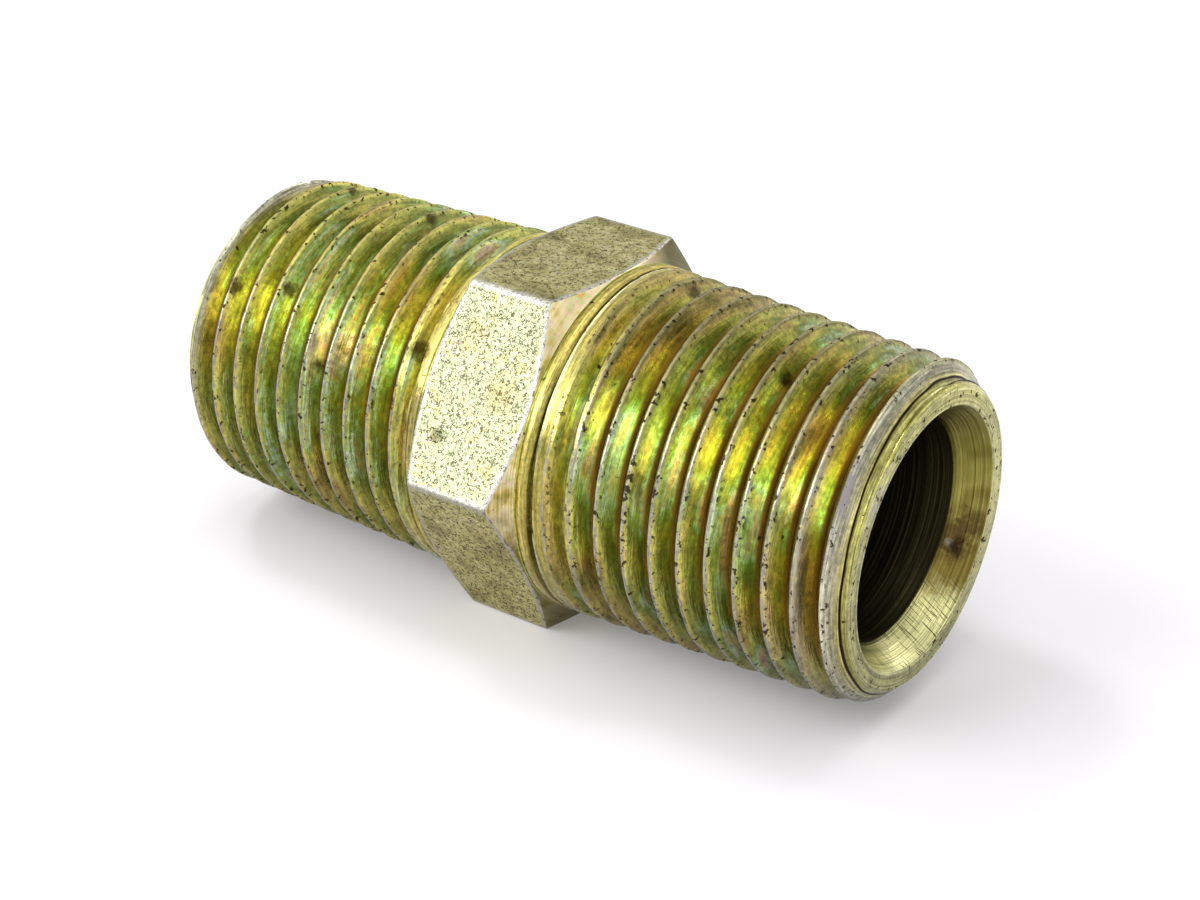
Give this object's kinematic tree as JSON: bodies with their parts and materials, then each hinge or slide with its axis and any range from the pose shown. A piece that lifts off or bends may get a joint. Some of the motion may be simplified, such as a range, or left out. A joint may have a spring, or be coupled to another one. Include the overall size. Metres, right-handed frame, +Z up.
{
  "type": "hose connector",
  "caption": "Turned steel double-ended nipple with a wrench hexagon, right-hand taper pipe threads and a through bore with cone seats.",
  "frame": {"origin": "on the bore's axis, in the middle plane of the hexagon", "axes": "+X along the bore towards the longer (pictured) end, +Z up with the hexagon resting on a flat, +Y across two hexagon corners"},
  "size_m": [0.0482, 0.025, 0.0218],
  "materials": {
    "zinc_plated_steel": "turned steel, zinc plated and yellow chromated, worn bright on the thread crests"
  },
  "bodies": {
    "root": {"connector_body": "zinc_plated_steel"}
  },
  "joints": []
}
